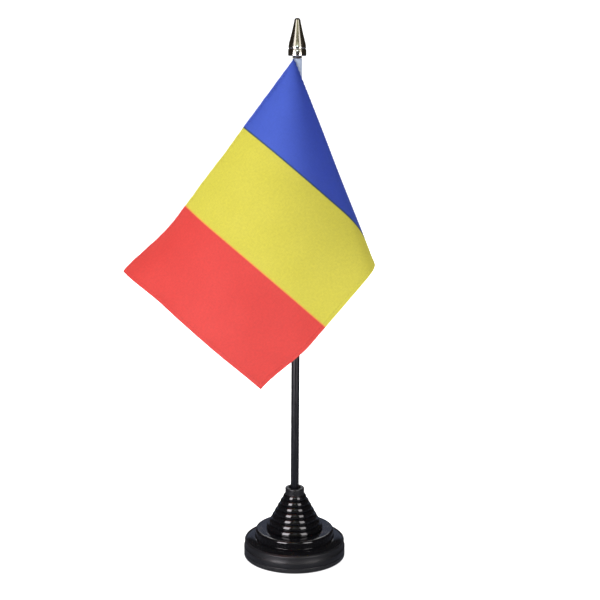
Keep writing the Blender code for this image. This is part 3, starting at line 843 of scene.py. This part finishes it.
def cloth_material():
    """Printed polyester: three dyed stripes, plain weave with uneven yarns, light shining through."""
    made = Shade("printed_polyester", (0.8, 0.7, 0.1), 0.62)
    flat, across, down = flat_parts(made, "flat_mm")
    dyed = dyed_stripes(made, flat, across)
    warp = made.math("SINE", made.math("MULTIPLY", across, 2.0 * math.pi / WEAVE_PITCH_MM))
    weft = made.math("SINE", made.math("MULTIPLY", down, 2.0 * math.pi / WEAVE_PITCH_MM))
    weave = made.math("MULTIPLY", warp, weft)
    long_yarn = made.noise(made.stretched(flat, (25.0, 420.0, 1.0)), 1.0, 2.0)
    cross_yarn = made.noise(made.stretched(flat, (420.0, 25.0, 1.0)), 1.0, 2.0)
    yarns = made.math("MULTIPLY", made.math("ADD", long_yarn, cross_yarn), 0.5)
    mottle = made.noise(flat, 62.0, 3.0, 0.65)
    shade = made.math("ADD", made.ramp(yarns, 0.35, 0.65, 0.10, 0.0),
                      made.ramp(mottle, 0.3, 0.7, 0.08, 0.0))
    shade = made.math("ADD", shade, made.ramp(weave, -1.0, 1.0, 0.0, 0.06, False))
    dyed = made.mix(shade, dyed, BLACK)
    made.link(dyed, made.shader.inputs["Base Color"])
    made.link(made.ramp(yarns, 0.35, 0.65, 0.56, 0.74), made.shader.inputs["Roughness"])
    cloth_bump = made.bump(weave, 0.35, 0.00005)
    made.link(made.bump(yarns, 0.30, 0.00008, cloth_bump), made.shader.inputs["Normal"])
    made.shader.inputs["Sheen Weight"].default_value = 0.08
    made.shader.inputs["Sheen Roughness"].default_value = 0.4
    made.shader.inputs["Specular IOR Level"].default_value = 0.25

    through = made.node("ShaderNodeBsdfTranslucent")
    passed = made.node("ShaderNodeGamma", Color=dyed, Gamma=THROUGH_GAMMA).outputs["Color"]
    made.link(passed, through.inputs["Color"])
    both = made.node("ShaderNodeMixShader")
    border = STRIPE_WIDTHS[0] / MM
    made.link(made.ramp(across, border - 0.3, border + 0.3, BLUE_THROUGH, OTHER_THROUGH),
              both.inputs["Fac"])
    made.link(made.shader.outputs[0], both.inputs[1])
    made.link(through.outputs[0], both.inputs[2])
    made.link(both.outputs[0], made.tree.nodes["Material Output"].inputs["Surface"])
    return made.material


def thread_material(name, striped):
    """Twisted sewing thread, dyed with the cloth or left pale."""
    made = Shade(name, (0.55, 0.60, 0.72), 0.5)
    flat, across, _ = flat_parts(made, "flat_mm")
    place = made.object_place()
    twist = made.node("ShaderNodeTexWave", {"wave_type": "BANDS", "bands_direction": "DIAGONAL"},
                      Scale=1800.0)
    made.link(place, twist.inputs["Vector"])
    plies = twist.outputs["Fac"]
    if striped:
        dyed = dyed_stripes(made, flat, across)
    else:
        dyed = made.mix(plies, (0.60, 0.65, 0.76), (0.74, 0.78, 0.86))
    made.link(made.mix(made.ramp(plies, 0.0, 0.6, 0.38, 0.12), dyed, BLACK),
              made.shader.inputs["Base Color"])
    made.link(made.ramp(made.noise(place, 3000.0), 0.3, 0.7, 0.38, 0.58), made.shader.inputs["Roughness"])
    made.link(made.bump(plies, 0.4, 0.00005), made.shader.inputs["Normal"])
    made.shader.inputs["Sheen Weight"].default_value = 0.1
    return made.material


def tape_material():
    """White woven tape, coloured a pale bluish grey as painted shade: fine herringbone, cross ribs and a
    little rubbing dirt.
    """
    # painted shade: the white tape gets a darker bluish grey, as it looks in shade with the black pole
    # inside
    made = Shade("white_tape", (0.42, 0.50, 0.66), 0.8)
    flat, along, down = flat_parts(made, "tape_mm")
    zigzag = made.math("PINGPONG", along, 0.9)
    diagonal = made.math("ADD", zigzag, down)
    twill = made.math("SINE", made.math("MULTIPLY", diagonal, 2.0 * math.pi / TWILL_PITCH_MM))
    rib = made.math("SINE", made.math("MULTIPLY", down, 2.0 * math.pi / TAPE_RIB_PITCH_MM))
    surface = made.math("ADD", made.math("MULTIPLY", twill, 0.6), made.math("MULTIPLY", rib, 0.4))
    rubbed = made.noise(flat, 26.0, 4.0, 0.6)
    # painted shade: both tones are a bluish grey darker than the white tape, as in shade; the noise between
    # them adds the rubbing dirt
    colour = made.mix(made.ramp(rubbed, 0.3, 0.7, 0.0, 1.0), (0.36, 0.44, 0.60), (0.47, 0.54, 0.70))
    made.link(made.mix(made.ramp(surface, -1.0, 1.0, 0.22, 0.0), colour, (0.10, 0.13, 0.22)),
              made.shader.inputs["Base Color"])
    made.link(made.ramp(rubbed, 0.3, 0.7, 0.72, 0.88), made.shader.inputs["Roughness"])
    made.link(made.bump(surface, 0.45, 0.00006), made.shader.inputs["Normal"])
    made.shader.inputs["Sheen Weight"].default_value = 0.2
    return made.material


# --------------------------------------------------------------------- stage

def build_stage():
    """White sweep, lit evenly; glossy pieces see a darker studio instead of it."""
    floor_shade = Shade("studio_floor", (0.50, 0.50, 0.50), 0.8)
    place = floor_shade.object_place()
    floor_shade.link(
        floor_shade.mix(floor_shade.noise(place, 3.0), (0.49, 0.49, 0.49), (0.51, 0.51, 0.51)),
        floor_shade.shader.inputs["Base Color"],
    )
    floor_shade.shader.inputs["Specular IOR Level"].default_value = 0.1
    floor_shade.shader.inputs["Emission Color"].default_value = (*WHITE, 1.0)
    floor_shade.shader.inputs["Emission Strength"].default_value = SWEEP_GLOW
    mesh = bpy.data.meshes.new("studio_sweep")
    work = bmesh.new()
    profile = [(SWEEP_FRONT_Y, 0.0), (SWEEP_BACK_Y, 0.0)]
    for step in range(1, SWEEP_BEND_STEPS + 1):
        angle = 0.5 * math.pi * step / SWEEP_BEND_STEPS
        profile.append((SWEEP_BACK_Y + SWEEP_BEND_R * math.sin(angle),
                        SWEEP_BEND_R - SWEEP_BEND_R * math.cos(angle)))
    profile.append((SWEEP_BACK_Y + SWEEP_BEND_R, SWEEP_TOP_Z))
    sides = []
    for x in (-SWEEP_HALF_WIDTH, SWEEP_HALF_WIDTH):
        sides.append([work.verts.new((x, y, z)) for y, z in profile])
    for step in range(len(profile) - 1):
        work.faces.new((sides[0][step], sides[1][step], sides[1][step + 1], sides[0][step + 1]))
    work.to_mesh(mesh)
    work.free()
    mesh.materials.append(floor_shade.material)
    for polygon in mesh.polygons:
        polygon.use_smooth = True
    sweep = bpy.data.objects.new("studio_sweep", mesh)
    sweep.visible_glossy = False
    bpy.context.scene.collection.objects.link(sweep)


def build_world():
    """Even white light, and for reflections a dim studio: grey front, bluish floor and far wall."""
    world = bpy.data.worlds.new("studio_world")
    world.use_nodes = True
    tree = world.node_tree
    nodes, links = tree.nodes, tree.links
    split = nodes.new("ShaderNodeSeparateXYZ")
    links.new(nodes.new("ShaderNodeTexCoord").outputs["Generated"], split.inputs["Vector"])

    def band(axis, low, high):
        made = nodes.new("ShaderNodeMapRange")
        made.interpolation_type = "SMOOTHSTEP"
        made.inputs["From Min"].default_value = low
        made.inputs["From Max"].default_value = high
        links.new(split.outputs[axis], made.inputs["Value"])
        return made.outputs["Result"]

    def times(first, second):
        made = nodes.new("ShaderNodeMath")
        made.operation = "MULTIPLY"
        links.new(first, made.inputs[0])
        links.new(second, made.inputs[1])
        return made.outputs[0]

    def mixed(factor, first, second):
        made = nodes.new("ShaderNodeMix")
        made.data_type = "RGBA"
        links.new(factor, made.inputs[0])
        for index, value in ((6, first), (7, second)):
            if isinstance(value, bpy.types.NodeSocket):
                links.new(value, made.inputs[index])
            else:
                made.inputs[index].default_value = (*value, 1.0)
        return made.outputs[2]

    studio = mixed(band("Y", -0.80, -0.93), STUDIO_DARK, STUDIO_FRONT)
    studio = mixed(band("Z", 0.10, 0.30), STUDIO_DARK, studio)
    studio = mixed(times(band("Y", 0.84, 0.92), band("Z", 0.05, 0.20)), studio, STUDIO_BACK)
    studio = mixed(band("Z", -0.10, -0.40), studio, STUDIO_FLOOR)
    path = nodes.new("ShaderNodeLightPath")
    seen = mixed(path.outputs["Is Glossy Ray"], (WORLD_FILL,) * 3, studio)
    seen = mixed(path.outputs["Is Camera Ray"], seen, WHITE)
    links.new(seen, nodes["Background"].inputs["Color"])
    bpy.context.scene.world = world


def add_light(name, place, target, size, power, colour=WHITE, reflected_only=False):
    """A soft rectangular light; it either lights surfaces or is only seen in reflections."""
    data = bpy.data.lights.new(name, "AREA")
    data.shape = "RECTANGLE"
    data.size, data.size_y = size
    data.energy = power
    data.color = colour
    light = bpy.data.objects.new(name, data)
    light.location = place
    light.rotation_mode = "QUATERNION"
    light.rotation_quaternion = (Vector(target) - Vector(place)).to_track_quat("-Z", "Y")
    light.visible_camera = False
    light.visible_diffuse = not reflected_only
    light.visible_transmission = not reflected_only
    light.visible_glossy = reflected_only
    bpy.context.scene.collection.objects.link(light)


def build_camera():
    data = bpy.data.cameras.new("camera")
    data.lens = CAMERA_LENS
    data.sensor_width = 36.0
    data.clip_start = 0.05
    data.clip_end = 20.0
    camera = bpy.data.objects.new("camera", data)
    camera.location = CAMERA_PLACE
    camera.rotation_mode = "QUATERNION"
    tilt = Quaternion((1.0, 0.0, 0.0), 0.5 * math.pi - CAMERA_PITCH)
    camera.rotation_quaternion = tilt @ Quaternion((0.0, 0.0, 1.0), CAMERA_ROLL)
    bpy.context.scene.collection.objects.link(camera)
    bpy.context.scene.camera = camera


# --------------------------------------------------------------------- build

bpy.context.scene.view_settings.view_transform = "Standard"
build_camera()
build_stage()
build_world()
for light in SURFACE_LIGHTS:
    add_light(*light)
for light in REFLECTED_LIGHTS:
    add_light(*light, reflected_only=True)

shell_black = gloss_black()
cover_black = satin_black("cover_black_plastic", (0.013, 0.013, 0.015), 0.32, 1.0)
turned("base", base_points(), 192, shell_black, "base", ("base_shell",))
turned("cover", cover_points(), 192, cover_black, "base", ("bottom_cover",))
paint("ballast_disc", zinc())
paint("anti_slip_pad", foam())
turned("pole", pole_points(), 64, satin_black("satin_black_plastic", (0.0042, 0.0048, 0.0072), 0.34, 0.02),
       "pole", ("pole_tube",))
turned("plug", plug_points(), 64, satin_black("plug_black_plastic", (0.012, 0.012, 0.014), 0.42, 1.0),
       "finial", ("finial_plug",))
turned("finial", finial_points(), 96, nickel(), "finial", ("finial_tip",))
build_sleeve(tape_material())
build_seam(thread_material("pale_thread", False))
flag = build_cloth(cloth_material())
stitches = build_stitches(thread_material("dyed_thread", True))
